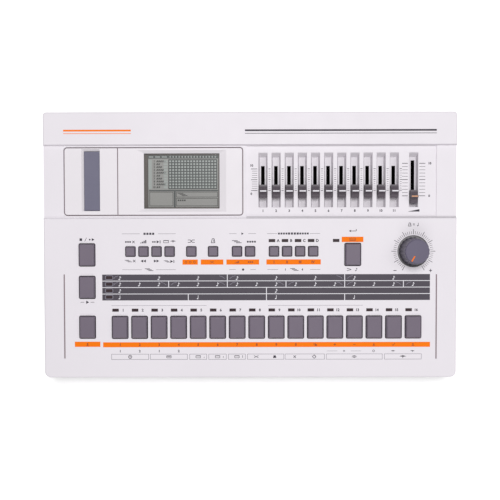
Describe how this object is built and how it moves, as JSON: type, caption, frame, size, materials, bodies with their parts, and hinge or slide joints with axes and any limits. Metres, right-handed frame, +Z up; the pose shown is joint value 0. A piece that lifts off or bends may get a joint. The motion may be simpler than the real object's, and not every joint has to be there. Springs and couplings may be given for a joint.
{
  "type": "drum machine",
  "caption": "Wedge-shaped tabletop drum machine with a row of step keys, sliding level faders, a display window, a cartridge slot and a tempo knob.",
  "frame": {"origin": "on the table, under the middle of the overall box", "axes": "+X to the player's right, +Y away from the player to the sockets, +Z up"},
  "size_m": [0.38, 0.25, 0.073],
  "materials": {
    "case_plastic": "fine moulded grain, off-white",
    "insert_plastic": "smooth satin, off-white",
    "key_plastic": "satin, violet grey",
    "fader_plastic": "satin, dark grey",
    "knob_plastic": "satin, violet grey",
    "shutter_plastic": "satin, grey",
    "button_plastic": "satin, dark grey",
    "window_clear": "clear, slightly tinted",
    "display": "grey-green liquid crystal",
    "rear_plate": "dark grey satin paint",
    "socket_plastic": "black moulded",
    "board": "green board lacquer",
    "control_plastic": "black moulded",
    "lamp": "dark red tinted lens",
    "foot_rubber": "matt rubber",
    "steel": "bright plated"
  },
  "bodies": {
    "case": {"top_case": "case_plastic", "bottom_case": "case_plastic", "insert_bezel": "insert_plastic", "display_window": "window_clear", "display_module": "display", "rear_panel": "rear_plate", "rear_sockets": "socket_plastic", "circuit_boards": "board", "control_bodies": "control_plastic", "lamps": "lamp", "feet": "foot_rubber", "fasteners": "steel"},
    "step_key_01": {"step_key_01": "key_plastic"},
    "step_key_02": {"step_key_02": "key_plastic"},
    "step_key_03": {"step_key_03": "key_plastic"},
    "step_key_04": {"step_key_04": "key_plastic"},
    "step_key_05": {"step_key_05": "key_plastic"},
    "step_key_06": {"step_key_06": "key_plastic"},
    "step_key_07": {"step_key_07": "key_plastic"},
    "step_key_08": {"step_key_08": "key_plastic"},
    "step_key_09": {"step_key_09": "key_plastic"},
    "step_key_10": {"step_key_10": "key_plastic"},
    "step_key_11": {"step_key_11": "key_plastic"},
    "step_key_12": {"step_key_12": "key_plastic"},
    "step_key_13": {"step_key_13": "key_plastic"},
    "step_key_14": {"step_key_14": "key_plastic"},
    "step_key_15": {"step_key_15": "key_plastic"},
    "step_key_16": {"step_key_16": "key_plastic"},
    "key_stop": {"key_stop": "key_plastic"},
    "key_start": {"key_start": "key_plastic"},
    "key_shift": {"key_shift": "key_plastic"},
    "key_enter": {"key_enter": "key_plastic"},
    "button_01": {"button_01": "key_plastic"},
    "button_02": {"button_02": "key_plastic"},
    "button_03": {"button_03": "key_plastic"},
    "button_04": {"button_04": "key_plastic"},
    "button_05": {"button_05": "key_plastic"},
    "button_06": {"button_06": "key_plastic"},
    "button_07": {"button_07": "key_plastic"},
    "button_08": {"button_08": "key_plastic"},
    "button_09": {"button_09": "key_plastic"},
    "button_10": {"button_10": "key_plastic"},
    "button_11": {"button_11": "key_plastic"},
    "button_12": {"button_12": "key_plastic"},
    "fader_01": {"fader_01": "fader_plastic"},
    "fader_02": {"fader_02": "fader_plastic"},
    "fader_03": {"fader_03": "fader_plastic"},
    "fader_04": {"fader_04": "fader_plastic"},
    "fader_05": {"fader_05": "fader_plastic"},
    "fader_06": {"fader_06": "fader_plastic"},
    "fader_07": {"fader_07": "fader_plastic"},
    "fader_08": {"fader_08": "fader_plastic"},
    "fader_09": {"fader_09": "fader_plastic"},
    "fader_10": {"fader_10": "fader_plastic"},
    "fader_11": {"fader_11": "fader_plastic"},
    "fader_volume": {"fader_volume": "fader_plastic"},
    "tempo_knob": {"tempo_knob": "knob_plastic"},
    "cartridge_shutter": {"cartridge_shutter": "shutter_plastic"},
    "power_button": {"power_button": "button_plastic"},
    "battery_door": {"battery_door": "case_plastic"}
  },
  "joints": [
    {"name": "tempo_turn", "type": "hinge", "parent": "case", "child": "tempo_knob", "pos_m": [0.15, -0.01039, 0.05212], "axis": [0, -0.165, 0.9863], "range_deg": [-300, 0]},
    {"name": "shutter_swing", "type": "hinge", "parent": "case", "child": "cartridge_shutter", "pos_m": [-0.1521, 0.05475, 0.05724], "axis": [0, 0.9863, 0.165], "range_deg": [0, 80], "stiffness_Nm_per_rad": 0.004, "springref_deg": -11.46},
    {"name": "power_press", "type": "slide", "parent": "case", "child": "power_button", "axis": [0, -1, 0], "range_m": [0, 0.003], "stiffness_N_per_m": 400},
    {"name": "battery_door_lift", "type": "slide", "parent": "case", "child": "battery_door", "axis": [0, 0, -1], "range_m": [0, 0.03]},
    {"name": "fader_volume_slide", "type": "slide", "parent": "case", "child": "fader_volume", "axis": [0, 0.9863, 0.165], "range_m": [0, 0.03]},
    {"name": "fader_01_slide", "type": "slide", "parent": "case", "child": "fader_01", "axis": [0, 0.9863, 0.165], "range_m": [0, 0.02]},
    {"name": "fader_02_slide", "type": "slide", "parent": "case", "child": "fader_02", "axis": [0, 0.9863, 0.165], "range_m": [0, 0.02]},
    {"name": "fader_03_slide", "type": "slide", "parent": "case", "child": "fader_03", "axis": [0, 0.9863, 0.165], "range_m": [0, 0.02]},
    {"name": "fader_04_slide", "type": "slide", "parent": "case", "child": "fader_04", "axis": [0, 0.9863, 0.165], "range_m": [0, 0.02]},
    {"name": "fader_05_slide", "type": "slide", "parent": "case", "child": "fader_05", "axis": [0, 0.9863, 0.165], "range_m": [0, 0.02]},
    {"name": "fader_06_slide", "type": "slide", "parent": "case", "child": "fader_06", "axis": [0, 0.9863, 0.165], "range_m": [0, 0.02]},
    {"name": "fader_07_slide", "type": "slide", "parent": "case", "child": "fader_07", "axis": [0, 0.9863, 0.165], "range_m": [0, 0.02]},
    {"name": "fader_08_slide", "type": "slide", "parent": "case", "child": "fader_08", "axis": [0, 0.9863, 0.165], "range_m": [0, 0.02]},
    {"name": "fader_09_slide", "type": "slide", "parent": "case", "child": "fader_09", "axis": [0, 0.9863, 0.165], "range_m": [0, 0.02]},
    {"name": "fader_10_slide", "type": "slide", "parent": "case", "child": "fader_10", "axis": [0, 0.9863, 0.165], "range_m": [0, 0.02]},
    {"name": "fader_11_slide", "type": "slide", "parent": "case", "child": "fader_11", "axis": [0, 0.9863, 0.165], "range_m": [0, 0.02]},
    {"name": "key_stop_press", "type": "slide", "parent": "case", "child": "key_stop", "axis": [0, 0.165, -0.9863], "range_m": [0, 0.0015], "stiffness_N_per_m": 350},
    {"name": "key_start_press", "type": "slide", "parent": "case", "child": "key_start", "axis": [0, 0.165, -0.9863], "range_m": [0, 0.0015], "stiffness_N_per_m": 350},
    {"name": "key_shift_press", "type": "slide", "parent": "case", "child": "key_shift", "axis": [0, 0.165, -0.9863], "range_m": [0, 0.0015], "stiffness_N_per_m": 350},
    {"name": "key_enter_press", "type": "slide", "parent": "case", "child": "key_enter", "axis": [0, 0.165, -0.9863], "range_m": [0, 0.0015], "stiffness_N_per_m": 350},
    {"name": "button_01_press", "type": "slide", "parent": "case", "child": "button_01", "axis": [0, 0.165, -0.9863], "range_m": [0, 0.001], "stiffness_N_per_m": 350},
    {"name": "button_02_press", "type": "slide", "parent": "case", "child": "button_02", "axis": [0, 0.165, -0.9863], "range_m": [0, 0.001], "stiffness_N_per_m": 350},
    {"name": "button_03_press", "type": "slide", "parent": "case", "child": "button_03", "axis": [0, 0.165, -0.9863], "range_m": [0, 0.001], "stiffness_N_per_m": 350},
    {"name": "button_04_press", "type": "slide", "parent": "case", "child": "button_04", "axis": [0, 0.165, -0.9863], "range_m": [0, 0.001], "stiffness_N_per_m": 350},
    {"name": "button_05_press", "type": "slide", "parent": "case", "child": "button_05", "axis": [0, 0.165, -0.9863], "range_m": [0, 0.001], "stiffness_N_per_m": 350},
    {"name": "button_06_press", "type": "slide", "parent": "case", "child": "button_06", "axis": [0, 0.165, -0.9863], "range_m": [0, 0.001], "stiffness_N_per_m": 350},
    {"name": "button_07_press", "type": "slide", "parent": "case", "child": "button_07", "axis": [0, 0.165, -0.9863], "range_m": [0, 0.001], "stiffness_N_per_m": 350},
    {"name": "button_08_press", "type": "slide", "parent": "case", "child": "button_08", "axis": [0, 0.165, -0.9863], "range_m": [0, 0.001], "stiffness_N_per_m": 350},
    {"name": "button_09_press", "type": "slide", "parent": "case", "child": "button_09", "axis": [0, 0.165, -0.9863], "range_m": [0, 0.001], "stiffness_N_per_m": 350},
    {"name": "button_10_press", "type": "slide", "parent": "case", "child": "button_10", "axis": [0, 0.165, -0.9863], "range_m": [0, 0.001], "stiffness_N_per_m": 350},
    {"name": "button_11_press", "type": "slide", "parent": "case", "child": "button_11", "axis": [0, 0.165, -0.9863], "range_m": [0, 0.001], "stiffness_N_per_m": 350},
    {"name": "button_12_press", "type": "slide", "parent": "case", "child": "button_12", "axis": [0, 0.165, -0.9863], "range_m": [0, 0.001], "stiffness_N_per_m": 350},
    {"name": "step_key_01_press", "type": "slide", "parent": "case", "child": "step_key_01", "axis": [0, 0.165, -0.9863], "range_m": [0, 0.0015], "stiffness_N_per_m": 350},
    {"name": "step_key_02_press", "type": "slide", "parent": "case", "child": "step_key_02", "axis": [0, 0.165, -0.9863], "range_m": [0, 0.0015], "stiffness_N_per_m": 350},
    {"name": "step_key_03_press", "type": "slide", "parent": "case", "child": "step_key_03", "axis": [0, 0.165, -0.9863], "range_m": [0, 0.0015], "stiffness_N_per_m": 350},
    {"name": "step_key_04_press", "type": "slide", "parent": "case", "child": "step_key_04", "axis": [0, 0.165, -0.9863], "range_m": [0, 0.0015], "stiffness_N_per_m": 350},
    {"name": "step_key_05_press", "type": "slide", "parent": "case", "child": "step_key_05", "axis": [0, 0.165, -0.9863], "range_m": [0, 0.0015], "stiffness_N_per_m": 350},
    {"name": "step_key_06_press", "type": "slide", "parent": "case", "child": "step_key_06", "axis": [0, 0.165, -0.9863], "range_m": [0, 0.0015], "stiffness_N_per_m": 350},
    {"name": "step_key_07_press", "type": "slide", "parent": "case", "child": "step_key_07", "axis": [0, 0.165, -0.9863], "range_m": [0, 0.0015], "stiffness_N_per_m": 350},
    {"name": "step_key_08_press", "type": "slide", "parent": "case", "child": "step_key_08", "axis": [0, 0.165, -0.9863], "range_m": [0, 0.0015], "stiffness_N_per_m": 350},
    {"name": "step_key_09_press", "type": "slide", "parent": "case", "child": "step_key_09", "axis": [0, 0.165, -0.9863], "range_m": [0, 0.0015], "stiffness_N_per_m": 350},
    {"name": "step_key_10_press", "type": "slide", "parent": "case", "child": "step_key_10", "axis": [0, 0.165, -0.9863], "range_m": [0, 0.0015], "stiffness_N_per_m": 350},
    {"name": "step_key_11_press", "type": "slide", "parent": "case", "child": "step_key_11", "axis": [0, 0.165, -0.9863], "range_m": [0, 0.0015], "stiffness_N_per_m": 350},
    {"name": "step_key_12_press", "type": "slide", "parent": "case", "child": "step_key_12", "axis": [0, 0.165, -0.9863], "range_m": [0, 0.0015], "stiffness_N_per_m": 350},
    {"name": "step_key_13_press", "type": "slide", "parent": "case", "child": "step_key_13", "axis": [0, 0.165, -0.9863], "range_m": [0, 0.0015], "stiffness_N_per_m": 350},
    {"name": "step_key_14_press", "type": "slide", "parent": "case", "child": "step_key_14", "axis": [0, 0.165, -0.9863], "range_m": [0, 0.0015], "stiffness_N_per_m": 350},
    {"name": "step_key_15_press", "type": "slide", "parent": "case", "child": "step_key_15", "axis": [0, 0.165, -0.9863], "range_m": [0, 0.0015], "stiffness_N_per_m": 350},
    {"name": "step_key_16_press", "type": "slide", "parent": "case", "child": "step_key_16", "axis": [0, 0.165, -0.9863], "range_m": [0, 0.0015], "stiffness_N_per_m": 350}
  ]
}
